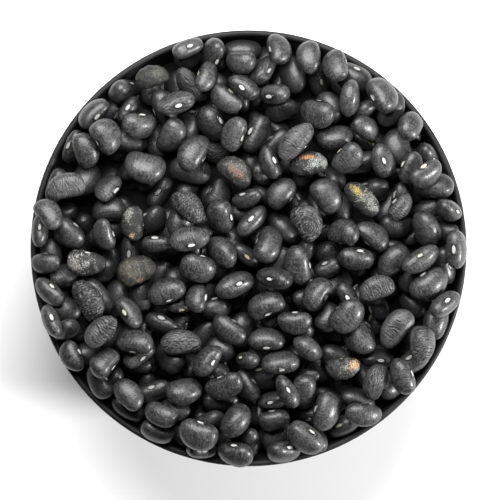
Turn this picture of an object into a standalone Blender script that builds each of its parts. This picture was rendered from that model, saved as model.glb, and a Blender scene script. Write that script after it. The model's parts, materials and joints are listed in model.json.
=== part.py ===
"""A round stoneware bowl, heaped to the brim with dried black turtle beans.

Metres, +Z up. The origin is the centre of the foot ring's resting face.
"""

import math

import bmesh
import bpy
import numpy as np

MM = 0.001

# Bowl: the lip's outer edge is the circle that the beans fill
RIM_RADIUS = 60 * MM
BOWL_HEIGHT = 50 * MM
LIP_RADIUS = 0.8 * MM
FOOT_RADIUS = 28 * MM
FOOT_WIDTH = 5 * MM
FOOT_HEIGHT = 4 * MM
FOOT_CHAMFER = 0.6 * MM
BASE_RECESS = 2.5 * MM
OUTER_START = FOOT_RADIUS - 1.2 * MM
INNER_START = 18 * MM
INNER_FLOOR = 7.5 * MM
WALL_SWEEP = math.radians(76)
WALL_POINTS = 9
WALL_STEPS = 90
LIP_POINTS = 5
BOWL_SIDES = 48
SHARP_EDGE = math.radians(35)

# Heap: a low dome whose surface stands a little over the lip
HEAP_RISE = 3 * MM
HEAP_OVER_LIP = 5.4 * MM
HEAP_FLATNESS = 4
RIM_PILE = 3.5 * MM
RIM_STEEPNESS = 8
LAID_DEPTH = 20 * MM

# Core: what the beans hide, from the bowl's floor up to a dome under the beans that show
CORE_DEPTH = 7 * MM
CORE_GAP = 0.35 * MM
CORE_RINGS = 5
CORE_WALL_RINGS = 9
CORE_SIDES = 48
CORE_MARGIN = 0.6 * MM
ROOT_DEPTH = 1 * MM
ROOT_TO_RIM = 6 * MM

# Beans: average size, and how far it varies
BEAN_LENGTH = 9.9 * MM
LENGTH_SPREAD = 0.85 * MM
WIDTH_SHARE = 0.69
THICKNESS_SHARE = 0.78
SHARE_SPREAD = 0.045
MOST_SPREAD = 2.2
BEAN_BEND = 0.16
BEND_LEVEL = 0.33
BEAN_SQUARENESS = 2.35

# Faceted beans: sides round the length and rings along it, fewer on the low ones
HIGH_BEAN = (6, 4)
LOW_BEAN = (5, 3)
LOW_SHOWING = 6.1 * MM
LEAST_SHOWING = 2.2 * MM
FACET_SCALE = 1.03
BEAN_TO_WALL = 0.35 * MM
BEAN_TO_EDGE = 0.2 * MM

# How beans settle: each tries some places, then small nudges towards the lowest rest
BEAN_COUNT = 445
BEAN_SEED = 5
PLACES = 40
INWARD_STEPS = 2
SETTLING_TURNS = 8
NUDGES = 14
NUDGE = 1.6 * MM
NUDGE_TURN = 0.28
NUDGE_FADE = 0.75
FIRST_TILT = 0.35
NEIGHBOUR_REACH = 17 * MM
STAND_OUT_AT = 310
STAND_OUT_ROOM = 6 * MM
NOWHERE = 1.0
DIGITS = 7

# Beans that stand out: centre, turn of the long axis in degrees, length and width, in mm
STAND_OUT = (
    (-3.7, 20.9, -35, 10.6, 7.3),
    (16.3, 23.1, 5, 10.4, 6.6),
    (30.9, 13.5, -44, 11.8, 6.4),
    (-30.8, -6.0, 20, 11.0, 7.8),
    (-44.2, -4.0, -6, 10.8, 7.0),
    (25.7, -32.6, 5, 9.4, 6.2),
    (-31.5, 6.8, 88, 9.6, 6.4),
    (-26.4, 46.6, 12, 9.4, 6.6),
    (12.7, 29.1, 50, 12.4, 6.9),
    (-43.7, -14.2, -64, 12.0, 7.8),
    (-18.6, -25.9, 2, 11.4, 7.2),
    (15.9, 7.0, -60, 10.4, 8.2),
    (-49.6, 16.9, 10, 10.6, 7.0),
    (-40.1, -22.5, 42, 10.4, 6.6),
    (35.0, -10.9, 18, 10.0, 6.4),
    (-16.6, 11.3, -45, 10.6, 7.4),
    (40.4, -21.9, 53, 12.0, 7.3),
    (-28.4, 22.0, 165, 11.4, 8.8),
)

BLACK_GLAZE = (0.02, 0.02, 0.021, 1)
BEAN_COAT = (0.035, 0.035, 0.036, 1)


def swept_wall(low, high, share):
    """Radius and height along a bowl wall that sweeps up from level at low to nearly upright at high."""
    angle = WALL_SWEEP * share
    radius = low[0] + (high[0] - low[0]) * np.sin(angle) / math.sin(WALL_SWEEP)
    height = low[1] + (high[1] - low[1]) * (1 - np.cos(angle)) / (1 - math.cos(WALL_SWEEP))
    return radius, height


def inner_wall(share):
    low = (INNER_START, INNER_FLOOR)
    high = (RIM_RADIUS - 2 * LIP_RADIUS, BOWL_HEIGHT - LIP_RADIUS)
    return swept_wall(low, high, share)


def outer_wall(share):
    low = (OUTER_START, FOOT_HEIGHT)
    high = (RIM_RADIUS, BOWL_HEIGHT - LIP_RADIUS)
    return swept_wall(low, high, share)


def lip(angles):
    radius = RIM_RADIUS - LIP_RADIUS + LIP_RADIUS * np.cos(angles)
    return radius, BOWL_HEIGHT - LIP_RADIUS + LIP_RADIUS * np.sin(angles)


def heap_surface(radius):
    """Height of the heap's top, where its beans' backs lie."""
    return BOWL_HEIGHT + HEAP_OVER_LIP + HEAP_RISE * (1 - (radius / RIM_RADIUS) ** HEAP_FLATNESS)


def laid_surface(radius):
    """Height that beans are laid up to: a little over the heap's own form along the lip, which they fill."""
    return heap_surface(radius) + RIM_PILE * (radius / RIM_RADIUS) ** RIM_STEEPNESS


def resting_rings():
    """Radius and height of close rings that carry the beans: a dome under the heap, the wall and the lip."""
    dome_radius = np.arange(0, RIM_RADIUS, MM)
    dome_height = heap_surface(dome_radius) - LAID_DEPTH
    wall_radius, wall_height = inner_wall(np.linspace(0, 1, WALL_STEPS))
    inside = dome_radius < np.interp(dome_height, wall_height, wall_radius)
    above = wall_height > dome_height[inside][-1]
    lip_radius, lip_height = lip(np.linspace(math.pi, 0, LIP_POINTS + 2))
    radius = np.concatenate([dome_radius[inside], wall_radius[above], lip_radius])
    height = np.concatenate([dome_height[inside], wall_height[above], lip_height])
    return radius, height


def frames_of(angles):
    """Rotation matrices from rows of yaw, pitch and roll."""
    cos_y, cos_p, cos_r = np.cos(angles).T
    sin_y, sin_p, sin_r = np.sin(angles).T
    rows = (
        (cos_y * cos_p, cos_y * sin_p * sin_r - sin_y * cos_r, cos_y * sin_p * cos_r + sin_y * sin_r),
        (sin_y * cos_p, sin_y * sin_p * sin_r + cos_y * cos_r, sin_y * sin_p * cos_r - cos_y * sin_r),
        (-sin_p, cos_p * sin_r, cos_p * cos_r),
    )
    return np.moveaxis(np.array(rows), 2, 0)


def balls_of(half):
    """Nine balls that fill a bean, as centre and radius in its own frame."""
    a, b, c = half
    side = b - c
    end = a - 0.9 * c
    balls = [(0, 0, 0, c), (end, 0, 0, 0.9 * c), (-end, 0, 0, 0.9 * c), (0, side, 0, c), (0, -side, 0, c)]
    balls += [(i * 0.55 * a, j * 0.72 * side, 0, 0.97 * c) for i in (-1, 1) for j in (-1, 1)]
    return np.array(balls)


def touching_heights(across, reach, under_height):
    """Height of each ball's centre where it touches the highest thing under it."""
    room = reach**2 - across
    lift = np.where(room > 0, under_height + np.sqrt(np.maximum(room, 0)), -NOWHERE)
    return lift.max(axis=2)


def within_lip(balls, frames, places):
    """The places, moved in towards the axis where a bean would reach past the lip."""
    offsets = np.einsum("kij,bj->kbi", frames, balls[:, :3])
    for _ in range(INWARD_STEPS):
        reach = np.linalg.norm(offsets[:, :, :2] + places[:, None], axis=2) + balls[:, 3]
        excess = np.maximum(reach.max(axis=1) - RIM_RADIUS + BEAN_TO_EDGE, 0)
        radius = np.maximum(np.linalg.norm(places, axis=1), MM)
        places = places * (1 - excess / radius)[:, None]
    return places


def rest_heights(balls, frames, places, laid, rings):
    """Height at which the bean's centre comes to rest, let down at each place in each frame."""
    offsets = np.einsum("kij,bj->kbi", frames, balls[:, :3])
    x = (offsets[:, :, 0] + places[:, None, 0])[:, :, None]
    y = (offsets[:, :, 1] + places[:, None, 1])[:, :, None]
    size = balls[:, 3][None, :, None]
    from_axis = np.hypot(x, y)
    touch = touching_heights((from_axis - rings[0]) ** 2, size, rings[1])
    if len(laid):
        across = (x - laid[:, 0]) ** 2 + (y - laid[:, 1]) ** 2
        touch = np.maximum(touch, touching_heights(across, size + laid[:, 3], laid[:, 2]))
    height = (touch - offsets[:, :, 2]).max(axis=1)
    height[(from_axis + size).max(axis=(1, 2)) > RIM_RADIUS - BEAN_TO_EDGE / 2] = NOWHERE
    return height


def drawn_half_sizes(rng):
    spread = np.clip(rng.normal(size=3), -MOST_SPREAD, MOST_SPREAD)
    length = BEAN_LENGTH + LENGTH_SPREAD * spread[0]
    width = length * (WIDTH_SHARE + SHARE_SPREAD * spread[1])
    thickness = width * (THICKNESS_SHARE + SHARE_SPREAD * spread[2])
    return np.array([length, width, thickness]) / 2


def drawn_places(rng):
    """Places and angles that a bean tries first: evenly over the heap, mostly lying flat."""
    radius = np.sqrt(rng.random(PLACES)) * RIM_RADIUS
    spin = rng.random(PLACES) * 2 * math.pi
    angles = rng.random((PLACES, 3)) * 2 * math.pi
    angles[:, 1] = rng.normal(0, FIRST_TILT, PLACES)
    return np.stack([radius * np.cos(spin), radius * np.sin(spin)], axis=1), angles


def known_bean(number):
    """Half sizes, place and angles of a bean that stands out."""
    x, y, turn, length, width = STAND_OUT[number]
    half = np.array([length, width, width * THICKNESS_SHARE]) * MM / 2
    return half, np.array([[x, y]]) * MM, np.array([[math.radians(turn), 0.0, 0.0]])


def scores(balls, places, angles, laid, rings, kept_clear):
    """Height of each rest over the surface that beans are laid up to."""
    height = rest_heights(balls, frames_of(angles), places, laid.reshape(-1, 4), rings)
    if len(kept_clear):
        apart = np.linalg.norm(places[:, None] - kept_clear, axis=2)
        height[apart.min(axis=1) < STAND_OUT_ROOM] = NOWHERE
    return height - laid_surface(np.hypot(*places.T))


def settled(rng, balls, laid, centres, rings, kept_clear):
    """The lowest of the first places, then of the nudges round it: place, angles and score."""
    places, angles = drawn_places(rng)
    places = within_lip(balls, frames_of(angles), places)
    tried = scores(balls, places, angles, laid, rings, kept_clear)
    best = np.argmin(tried)
    place, angle, low = places[best], angles[best], tried[best]
    near = laid[np.hypot(*(centres[:, :2] - place).T) < NEIGHBOUR_REACH]
    for turn in range(SETTLING_TURNS):
        step = NUDGE_FADE**turn
        nudged = place + rng.normal(0, NUDGE * step, (NUDGES, 2))
        turned = angle + rng.normal(0, NUDGE_TURN * step, (NUDGES, 3))
        nudged = within_lip(balls, frames_of(turned), nudged)
        tried = scores(balls, nudged, turned, near, rings, kept_clear)
        best = np.argmin(tried)
        if tried[best] < low:
            place, angle, low = nudged[best], turned[best], tried[best]
    return place, angle, low


def lay_beans():
    """Centre, frame and half sizes of each bean: it takes the lowest of some drawn places and settles there.

    The beans that stand out go in near the end, at their own places, and no later bean lies on them.
    Places are rounded, so that the last digits of a sum never change where the next bean lies.
    """
    rng = np.random.default_rng(BEAN_SEED)
    rings = resting_rings()
    beans = []
    centres = np.zeros((0, 3))
    laid = np.zeros((0, len(balls_of(np.ones(3))), 4))
    kept_clear = np.zeros((0, 2))
    for number in range(BEAN_COUNT):
        if 0 <= number - STAND_OUT_AT < len(STAND_OUT):
            half, places, angles = known_bean(number - STAND_OUT_AT)
            balls = balls_of(half)
            place, angle = places[0], angles[0]
            low = max(scores(balls, places, angles, laid, rings, kept_clear)[0], -half[2])
            kept_clear = np.concatenate([kept_clear, places])
        else:
            half = drawn_half_sizes(rng)
            balls = balls_of(half)
            place, angle, low = settled(rng, balls, laid, centres, rings, kept_clear)
        centre = np.array([*place, low + laid_surface(np.hypot(*place))]).round(DIGITS)
        frame = frames_of(angle[None].round(DIGITS))[0]
        world = balls.copy()
        world[:, :3] = balls[:, :3] @ frame.T + centre
        laid = np.concatenate([laid, world[None]])
        centres = np.concatenate([centres, centre[None]])
        beans.append((centre, frame, half))
    return beans


def material(name, colour, roughness):
    made = bpy.data.materials.new(name)
    made.use_nodes = True
    shader = made.node_tree.nodes["Principled BSDF"]
    shader.inputs["Base Color"].default_value = colour
    shader.inputs["Roughness"].default_value = roughness
    shader.inputs["Metallic"].default_value = 0
    made.diffuse_color = colour
    return made


def turned(name, profile, sides, collection):
    """A solid of revolution about Z. The profile runs from the axis at the top, out, and down to the axis."""
    mesh = bpy.data.meshes.new(name)
    points = [(radius, 0, height) for radius, height in profile]
    mesh.from_pydata(points, [(i, i + 1) for i in range(len(points) - 1)], [])
    made = bpy.data.objects.new(name, mesh)
    collection.objects.link(made)
    screw = made.modifiers.new("turn", "SCREW")
    screw.axis = "Z"
    screw.steps = sides
    screw.render_steps = sides
    screw.use_merge_vertices = True
    screw.merge_threshold = 0.01 * MM
    return made


def baked(made):
    """Replaces an object's modifiers by the mesh that they make."""
    graph = bpy.context.evaluated_depsgraph_get()
    mesh = bpy.data.meshes.new_from_object(made.evaluated_get(graph))
    made.modifiers.clear()
    made.data = mesh


def make_bowl(collection):
    inner = np.stack(inner_wall(np.linspace(0, 1, WALL_POINTS)), axis=1)
    rim = np.stack(lip(np.linspace(math.pi, 0, LIP_POINTS)), axis=1)[1:-1]
    outer = np.stack(outer_wall(np.linspace(1, 0, WALL_POINTS)), axis=1)
    foot_inside = FOOT_RADIUS - FOOT_WIDTH
    foot = [
        (FOOT_RADIUS, FOOT_HEIGHT - FOOT_CHAMFER),
        (FOOT_RADIUS, FOOT_CHAMFER),
        (FOOT_RADIUS - FOOT_CHAMFER, 0),
        (foot_inside + FOOT_CHAMFER, 0),
        (foot_inside, FOOT_CHAMFER),
        (foot_inside - FOOT_CHAMFER, BASE_RECESS),
        (0, BASE_RECESS),
    ]
    profile = [(0, INNER_FLOOR), *inner, *rim, *outer, *foot]
    bowl = turned("bowl", profile, BOWL_SIDES, collection)
    baked(bowl)
    bowl.data.shade_smooth()
    bowl.data.set_sharp_from_angle(angle=SHARP_EDGE)
    bowl.data.materials.append(material("black_glaze", BLACK_GLAZE, 0.4))


def make_core(collection):
    """The bowl's filling under the beans that show, a gap clear of the wall."""
    wall_radius, wall_height = inner_wall(np.linspace(0, 1, WALL_STEPS))
    wall_radius = wall_radius - CORE_GAP
    wall_height = wall_height + CORE_GAP
    over_dome = wall_height - heap_surface(wall_radius) + CORE_DEPTH
    highest = min(np.interp(0, over_dome, wall_height), BOWL_HEIGHT - LIP_RADIUS - CORE_MARGIN)
    heights = np.linspace(highest, wall_height[0], CORE_WALL_RINGS)
    wall = np.stack([np.interp(heights, wall_height, wall_radius), heights], axis=1)
    radii = np.linspace(0, wall[0, 0], CORE_RINGS, endpoint=False)
    top = np.stack([radii, heap_surface(radii) - CORE_DEPTH], axis=1)
    profile = [*top, *wall, (0, wall_height[0])]
    return turned("beans", profile, CORE_SIDES, collection)


def faceted_bean(sides, rings):
    """Corners of a bean of unit half sizes: its length along X, its eye towards -Y, its flat sides towards Z."""
    sphere = bmesh.new()
    bmesh.ops.create_uvsphere(sphere, u_segments=sides, v_segments=rings, radius=1)
    corners = np.array([(vertex.co.z, vertex.co.x, vertex.co.y) for vertex in sphere.verts])
    sphere.free()
    size = (np.abs(corners) ** BEAN_SQUARENESS).sum(axis=1, keepdims=True) ** (1 / BEAN_SQUARENESS)
    corners *= FACET_SCALE / size
    corners[:, 1] -= BEAN_BEND * (corners[:, 0] ** 2 - BEND_LEVEL)
    return corners


def room_within(heights):
    """Radius that a bean may reach at each height: the inner wall's, and over the lip the lip's own."""
    wall_radius, wall_height = inner_wall(np.linspace(0, 1, WALL_STEPS))
    within = np.interp(heights, wall_height, wall_radius) - BEAN_TO_WALL
    return np.where(heights < BOWL_HEIGHT + BEAN_TO_WALL, within, RIM_RADIUS)


def root_of(centre):
    """A point inside the core under a bean, in from the wall, down to which its underside tapers."""
    radius = np.hypot(*centre[:2])
    inward = min(radius, RIM_RADIUS - ROOT_TO_RIM) / radius
    return np.array([*centre[:2] * inward, heap_surface(radius * inward) - CORE_DEPTH - ROOT_DEPTH])


def add_bean(name, corners, bean, helpers):
    """The hull of a laid bean's corners, clear of the wall, and of its root."""
    centre, frame, half = bean
    points = corners * half @ frame.T + centre
    excess = (np.hypot(points[:, 0], points[:, 1]) - room_within(points[:, 2])).max()
    if excess > 0:
        points[:, :2] -= excess * centre[:2] / np.hypot(*centre[:2])
    hull = bmesh.new()
    for point in [*points, root_of(centre)]:
        hull.verts.new(point)
    wrapped = bmesh.ops.convex_hull(hull, input=hull.verts)
    bmesh.ops.delete(hull, geom=wrapped["geom_interior"], context="VERTS")
    mesh = bpy.data.meshes.new(name)
    hull.to_mesh(mesh)
    hull.free()
    piece = bpy.data.objects.new(name, mesh)
    piece.hide_render = True
    piece.display_type = "WIRE"
    helpers.objects.link(piece)


def shells_of(mesh):
    """The connected sheets of faces of a mesh, the one with most faces first."""
    waiting = set(mesh.faces)
    shells = []
    while waiting:
        reached = [waiting.pop()]
        shell = []
        while reached:
            face = reached.pop()
            shell.append(face)
            beside = {other for edge in face.edges for other in edge.link_faces} & waiting
            waiting -= beside
            reached.extend(beside)
        shells.append(shell)
    return sorted(shells, key=len, reverse=True)


def keep_one_body(made):
    """Keeps the outer shell, which fills any hollow that the joining sealed and drops loose scraps."""
    mesh = bmesh.new()
    mesh.from_mesh(made.data)
    for shell in shells_of(mesh)[1:]:
        bmesh.ops.delete(mesh, geom=shell, context="FACES")
    mesh.to_mesh(made.data)
    mesh.free()


def make_beans(collection, helpers):
    heap = make_core(collection)
    high_bean = faceted_bean(*HIGH_BEAN)
    low_bean = faceted_bean(*LOW_BEAN)
    for number, bean in enumerate(lay_beans()):
        centre, frame, half = bean
        back = centre[2] + np.linalg.norm(frame[2] * half)
        showing = back - heap_surface(np.hypot(*centre[:2])) + CORE_DEPTH
        if showing > LEAST_SHOWING:
            unit = high_bean if showing > LOW_SHOWING else low_bean
            add_bean(f"bean_{number}", unit, bean, helpers)
    join = heap.modifiers.new("join", "BOOLEAN")
    join.operation = "UNION"
    join.operand_type = "COLLECTION"
    join.collection = helpers
    baked(heap)
    for piece in list(helpers.objects):
        bpy.data.objects.remove(piece)
    keep_one_body(heap)
    heap.data.materials.append(material("bean_coat", BEAN_COAT, 0.45))


def main():
    for old in list(bpy.data.objects):
        bpy.data.objects.remove(old)
    parts = bpy.data.collections.new("bowl_of_dried_beans")
    helpers = bpy.data.collections.new("joined_beans")
    bpy.context.scene.collection.children.link(parts)
    bpy.context.scene.collection.children.link(helpers)
    make_bowl(parts)
    make_beans(parts, helpers)


main()
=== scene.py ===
"""The looks of a round stoneware bowl heaped with dried black turtle beans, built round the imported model."""

import json
import math
from collections import namedtuple

import bpy
import numpy as np
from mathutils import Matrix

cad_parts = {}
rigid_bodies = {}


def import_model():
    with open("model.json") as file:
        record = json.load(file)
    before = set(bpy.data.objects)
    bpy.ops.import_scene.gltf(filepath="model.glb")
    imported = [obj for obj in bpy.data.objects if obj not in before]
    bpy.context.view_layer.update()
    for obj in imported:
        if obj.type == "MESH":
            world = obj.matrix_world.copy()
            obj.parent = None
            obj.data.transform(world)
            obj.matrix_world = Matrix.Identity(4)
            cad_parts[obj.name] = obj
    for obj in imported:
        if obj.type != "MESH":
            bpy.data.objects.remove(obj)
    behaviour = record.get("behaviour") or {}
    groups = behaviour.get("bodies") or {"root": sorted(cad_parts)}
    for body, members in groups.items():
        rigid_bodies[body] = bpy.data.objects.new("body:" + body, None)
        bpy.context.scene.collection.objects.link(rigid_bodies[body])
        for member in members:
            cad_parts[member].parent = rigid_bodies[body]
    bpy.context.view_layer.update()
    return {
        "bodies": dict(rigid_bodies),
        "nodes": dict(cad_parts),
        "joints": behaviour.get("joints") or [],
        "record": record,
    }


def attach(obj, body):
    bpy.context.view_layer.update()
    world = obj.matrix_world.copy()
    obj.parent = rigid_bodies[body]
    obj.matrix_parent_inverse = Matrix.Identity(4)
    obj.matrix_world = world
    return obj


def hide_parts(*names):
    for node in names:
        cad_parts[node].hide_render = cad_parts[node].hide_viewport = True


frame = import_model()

MM = 0.001

# Camera: the lip's circle is 436.6 pixels across in a picture of 500, its centre a little off the middle
PICTURE_PIXELS = 500
CIRCLE_PIXELS = 436.6
CIRCLE_CENTRE_PIXEL = (248.63, 248.25)
CAMERA_HEIGHT = 0.9
SENSOR = 36

# Bowl: the lip's outer edge is the circle that the beans fill
RIM_RADIUS = 60 * MM
BOWL_HEIGHT = 50 * MM
LIP_RADIUS = 0.8 * MM
FOOT_RADIUS = 28 * MM
FOOT_WIDTH = 5 * MM
FOOT_HEIGHT = 4 * MM
FOOT_CHAMFER = 0.6 * MM
BASE_RECESS = 2.5 * MM
OUTER_START = FOOT_RADIUS - 1.2 * MM
INNER_START = 18 * MM
INNER_FLOOR = 7.5 * MM
WALL_SWEEP = math.radians(76)
WALL_STEPS = 90
LIP_POINTS = 5

# Mesh of the bowl: sides and rings, the angle from which edges stay sharp, how softly the bare clay begins
BOWL_SIDES = 160
WALL_RINGS = 60
LIP_RINGS = 12
CREASE = math.radians(40)
CLAY_EDGE = 1.5 * MM

# Rings that a potter's fingers leave on the outer wall: depth, and spacing in mm
FINGER_DEPTH = 0.06 * MM
FINGER_SPACING = 3.1

# Surfaces turned about the axis end at this radius
POLE_RADIUS = 0.05 * MM

# Heap: a low dome whose surface stands a little over the lip
HEAP_RISE = 3 * MM
HEAP_OVER_LIP = 5.4 * MM
HEAP_FLATNESS = 4
RIM_PILE = 3.5 * MM
RIM_STEEPNESS = 8
LAID_DEPTH = 20 * MM

# Core under the beans that show, near-black as painted shade: depth, room to the wall, sides, rings, and the
# stride of the wall's rings
CORE_DEPTH = 14 * MM
CORE_TO_WALL = 0.4 * MM
CORE_SIDES = 64
CORE_RINGS = 8
CORE_WALL_STRIDE = 6

# Beans: average size, and how far it varies
BEAN_LENGTH = 9.9 * MM
LENGTH_SPREAD = 0.85 * MM
WIDTH_SHARE = 0.69
THICKNESS_SHARE = 0.78
SHARE_SPREAD = 0.045
MOST_SPREAD = 2.2
BEAN_TO_WALL = 0.35 * MM
BEAN_TO_EDGE = 0.2 * MM

# A bean's form, in shares of its half sizes: bent, squarish and lumpy, with flats and a hollow at its eye
BEAN_BEND = 0.16
BEND_RANGE = (0.5, 1.5)
BEND_LEVEL = 0.33
BEAN_SQUARENESS = 2.35
SQUARENESS_RANGE = (-0.35, 0.15)
TAPER_SPREAD = 0.05
SKEW_SPREAD = 0.05
WAVES = 5
WAVE_PACE = 1.9
LUMP_RANGE = (0.004, 0.011)
FLATS = 3
FLAT_DEPTH = 0.10
FLAT_EDGE = (0.62, 1.05)
HOLLOW_RANGE = (0.02, 0.10)
HOLLOW_LENGTH = 0.42
HOLLOW_WIDTH = 0.8
HOLLOW_EDGE = (0.1, 0.8)

# How beans settle: each tries some places, then small nudges towards the lowest rest
BEAN_COUNT = 445
BEAN_SEED = 5
PLACES = 40
INWARD_STEPS = 2
SETTLING_TURNS = 8
NUDGES = 14
NUDGE = 1.6 * MM
NUDGE_TURN = 0.28
NUDGE_FADE = 0.75
FIRST_TILT = 0.35
NEIGHBOUR_REACH = 17 * MM
STAND_OUT_AT = 310
STAND_OUT_ROOM = 6 * MM
NOWHERE = 1.0
DIGITS = 7

# Beans that stand out: centre, turn of the long axis in degrees, length and width, in mm
STAND_OUT = (
    (-3.7, 20.9, -35, 10.6, 7.3),
    (16.3, 23.1, 5, 10.4, 6.6),
    (30.9, 13.5, -44, 11.8, 6.4),
    (-30.8, -6.0, 20, 11.0, 7.8),
    (-44.2, -4.0, -6, 10.8, 7.0),
    (25.7, -32.6, 5, 9.4, 6.2),
    (-31.5, 6.8, 88, 9.6, 6.4),
    (-26.4, 46.6, 12, 9.4, 6.6),
    (12.7, 29.1, 50, 12.4, 6.9),
    (-43.7, -14.2, -64, 12.0, 7.8),
    (-18.6, -25.9, 2, 11.4, 7.2),
    (15.9, 7.0, -60, 10.4, 8.2),
    (-49.6, 16.9, 10, 10.6, 7.0),
    (-40.1, -22.5, 42, 10.4, 6.6),
    (35.0, -10.9, 18, 10.0, 6.4),
    (-16.6, 11.3, -45, 10.6, 7.4),
    (40.4, -21.9, 53, 12.0, 7.3),
    (-28.4, 22.0, 165, 11.4, 8.8),
)

# The first of them are weathered. Each has a pale area that is partly bleached coat and partly painted light,
# and beyond its reach the coat darkens as painted shade. Places and sizes are shares of the bean's half length
# and half width
Worn = namedtuple("Worn", "coat patch patch_at patch_size pale_at pale_reach")
WEATHERED = (
    Worn((0.084, 0.081, 0.075), (0.168, 0.100, 0.078), (0.00, 0.05), (0.66, 0.34), (0.00, 0.40), 0.80),
    Worn((0.180, 0.187, 0.178), (0.420, 0.190, 0.080), (-0.10, 0.55), (0.50, 0.20), (0.60, 0.05), 0.70),
    Worn((0.150, 0.152, 0.138), (0.350, 0.260, 0.055), (-0.45, 0.15), (0.38, 0.34), (0.40, 0.40), 0.70),
    Worn((0.066, 0.063, 0.046), (0.240, 0.180, 0.115), (0.05, -0.78), (0.22, 0.22), (-0.20, 0.10), 0.95),
    Worn((0.245, 0.243, 0.234), (0.300, 0.290, 0.270), (-0.60, 0.00), (0.35, 0.50), (-0.60, 0.10), 0.75),
    Worn((0.150, 0.148, 0.132), (0.520, 0.330, 0.190), (0.66, 0.15), (0.32, 0.50), (0.60, -0.05), 0.65),
    Worn((0.175, 0.179, 0.156), (0.460, 0.290, 0.130), (-0.72, 0.05), (0.17, 0.26), (0.70, 0.45), 0.50),
    Worn((0.022, 0.024, 0.019), (0.062, 0.066, 0.053), (0.40, 0.30), (0.40, 0.40), (0.20, 0.30), 1.10),
)

# The next are wrinkled, with spacing and depth in mm. The wrinkles run across the bean, along it or round a
# point, and fade out from a centre, given with their reach in shares of the half length and half width
ACROSS, ALONG, ROUND = range(3)
Wrinkles = namedtuple("Wrinkles", "run spacing depth waviness centre reach")
WRINKLED = (
    Wrinkles(ACROSS, 0.62, 0.22, 0.45, (0.00, 0.00), 1.8),
    Wrinkles(ACROSS, 1.00, 0.50, 1.00, (0.10, 0.00), 1.8),
    Wrinkles(ALONG, 0.72, 0.28, 0.50, (0.20, 0.00), 1.8),
    Wrinkles(ROUND, 0.90, 0.50, 0.50, (0.25, -0.10), 1.3),
    Wrinkles(ACROSS, 0.62, 0.17, 0.35, (0.00, 0.00), 1.8),
    Wrinkles(ACROSS, 0.90, 0.52, 0.45, (0.40, -0.15), 0.8),
    Wrinkles(ACROSS, 0.70, 0.30, 0.50, (0.30, 0.00), 1.1),
    Wrinkles(ACROSS, 0.90, 0.42, 1.20, (0.00, 0.00), 1.8),
    Wrinkles(ACROSS, 0.72, 0.75, 0.25, (-0.05, 0.10), 0.42),
)

# Others are wrinkled too, gently and only where they lie: how many, with folds under this depth in mm, and
# how far their length may point up, from 0 for level to 1 for upright
MORE_WRINKLED = 12
GENTLE_FOLD = 0.35
LYING = 0.5

# Folds as deep as this, in mm, get the full painted shade, and crests are broader than folds
FULL_SHADE_FOLD = 0.28
FOLD_SHARPNESS = 1.8

# Relief of a weathered coat
LUMP_HEIGHT = 0.10 * MM
PIT_DEPTH = 0.06 * MM

# Eyes: most of those that would lie underneath are turned up, and these stand-out beans roll by some degrees
TURNED_UP = 0.75
EYE_ROLLS = {4: 205, 5: 180, 17: 25}

# Meshes: rings along a bean and sides round it
TOP_GRID = (32, 20)
MIDDLE_GRID = (24, 16)
LOW_GRID = (14, 10)
ACROSS_GRID = (96, 54)
ALONG_GRID = (84, 96)
ROUGH_GRID = (56, 40)

# An eye's half length and half width, its rings in shares of them, and its relief
EYE_HALF = (0.96 * MM, 0.47 * MM)
EYE_RINGS = (0, 0.35, 0.62, 0.82, 0.92, 1.0, 1.12, 1.28, 1.45, 1.7)
EYE_SIDES = 18
EYE_LIFT = 0.05 * MM
EYE_DOME = 0.07 * MM
EYE_SLIT = 0.05 * MM
EYE_RIM = 0.13 * MM
EYE_SUNK = 0.16 * MM

# How eyes differ: in warmth, by mean and spread, where only what is over 0 shows, and in size
EYE_WARMTH = (-0.15, 0.4)
EYE_SCALE_RANGE = (0.85, 1.15)

# A bean gets an eye if this share of it shows and the eye lies outside every other bean, taken at this size
EYE_SHARE = 0.02
EYE_ROOM = 1.0

# Distance from the eye, in eye sizes, that stands for a bean's other side
EYE_FAR = 20

# What shows from above: the map's cell, and the least share of a bean's outline for the finer meshes
MAP_STEP = 0.25 * MM
TOP_SHARE = 0.5
MIDDLE_SHARE = 0.04

# Painted shade: coats darken between two depths in the heap, in mm, down to a share of their colour
COAT_PAINTED_SHADE = (0.5, 6.0, 0.15)
EYE_PAINTED_SHADE = (1.0, 8.0, 0.3)

# Beside an eye they are dark: from and to, in eye sizes, and the share of their colour next to the eye
BESIDE_EYE = (1.5, 3.0, 0.1)

# Beans take their coats from places up to this far apart in the noise, so that no two are alike
PATTERN_REACH = 900

# Studio: each light's place, what it faces, its size and its power in watts
BROAD_LIGHT = ((-0.03, 0.24, 0.335), (-0.03, 0.26, 0), 0.36, 4.5)
SIDE_LIGHT = ((0.55, -0.16, 0.33), (0, 0, BOWL_HEIGHT), 0.13, 7.3)
WORLD_STRENGTH = 0.02
FLOOR_REACH = 2

# Seed of what is drawn for the looks alone
LOOK_SEED = 11


def swept_wall(low, high, share):
    """Radius and height along a bowl wall that sweeps up from level at low to nearly upright at high."""
    angle = WALL_SWEEP * share
    radius = low[0] + (high[0] - low[0]) * np.sin(angle) / math.sin(WALL_SWEEP)
    height = low[1] + (high[1] - low[1]) * (1 - np.cos(angle)) / (1 - math.cos(WALL_SWEEP))
    return radius, height


def inner_wall(share):
    low = (INNER_START, INNER_FLOOR)
    high = (RIM_RADIUS - 2 * LIP_RADIUS, BOWL_HEIGHT - LIP_RADIUS)
    return swept_wall(low, high, share)


def outer_wall(share):
    low = (OUTER_START, FOOT_HEIGHT)
    high = (RIM_RADIUS, BOWL_HEIGHT - LIP_RADIUS)
    return swept_wall(low, high, share)


def lip(angles):
    radius = RIM_RADIUS - LIP_RADIUS + LIP_RADIUS * np.cos(angles)
    return radius, BOWL_HEIGHT - LIP_RADIUS + LIP_RADIUS * np.sin(angles)


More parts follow.
